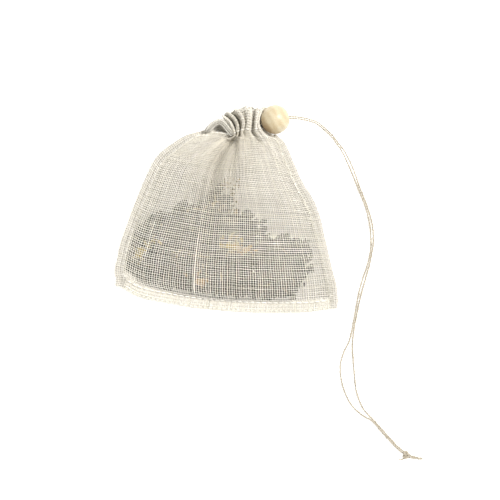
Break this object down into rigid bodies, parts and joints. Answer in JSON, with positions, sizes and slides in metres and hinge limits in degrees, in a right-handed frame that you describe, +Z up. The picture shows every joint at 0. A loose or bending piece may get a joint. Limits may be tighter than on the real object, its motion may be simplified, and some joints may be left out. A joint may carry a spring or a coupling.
{
  "type": "drawstring herb sachet",
  "caption": "Small open-weave gauze bag of dried herbs, gathered shut by a doubled linen drawstring with a sliding wooden bead and an end knot.",
  "frame": {"origin": "on the surface the sachet lies on, under the middle of the bag", "axes": "+X along the bottom seam, +Y from the bottom seam towards the mouth, +Z up out of the surface"},
  "size_m": [0.1357, 0.1399, 0.0157],
  "materials": {
    "gauze": "matte",
    "gauze_seam": "matte",
    "sewing_thread": "matte",
    "linen_cord": "matte",
    "bead_wood": "satin",
    "dried_leaf": "matte",
    "yellow_petal": "matte",
    "orange_petal": "matte",
    "dried_stalk": "matte"
  },
  "bodies": {
    "bag": {"bag_front_panel": "gauze", "bag_back_panel": "gauze", "side_seam_left": "gauze_seam", "side_seam_right": "gauze_seam", "bottom_seam": "gauze_seam", "mouth_casing": "gauze_seam", "stitching_left": "sewing_thread", "stitching_right": "sewing_thread", "stitching_bottom": "sewing_thread", "stitching_casing": "sewing_thread", "drawstring_in_casing": "linen_cord", "drawstring_strand_a": "linen_cord", "drawstring_strand_b": "linen_cord", "end_knot": "linen_cord", "cord_tail_a": "linen_cord", "cord_tail_b": "linen_cord", "leaf_heap_left": "dried_leaf", "leaf_heap_middle": "dried_leaf", "leaf_heap_right": "dried_leaf", "leaf_heap_top": "dried_leaf", "leaf_flake_left": "dried_leaf", "leaf_flake_middle": "dried_leaf", "leaf_flake_right": "dried_leaf", "petal_yellow_left": "yellow_petal", "petal_yellow_upper": "yellow_petal", "petal_yellow_middle": "yellow_petal", "petal_orange_middle": "orange_petal", "petal_orange_low": "orange_petal", "stalk_left": "dried_stalk", "stalk_right": "dried_stalk"},
    "bead": {"bead": "bead_wood"}
  },
  "joints": [
    {"name": "bead_slide", "type": "hinge", "parent": "bag", "child": "bead", "pos_m": [0.02029, 0.01597, 0.0061], "axis": [0, 0, -1], "range_deg": [0, 28.5]}
  ]
}
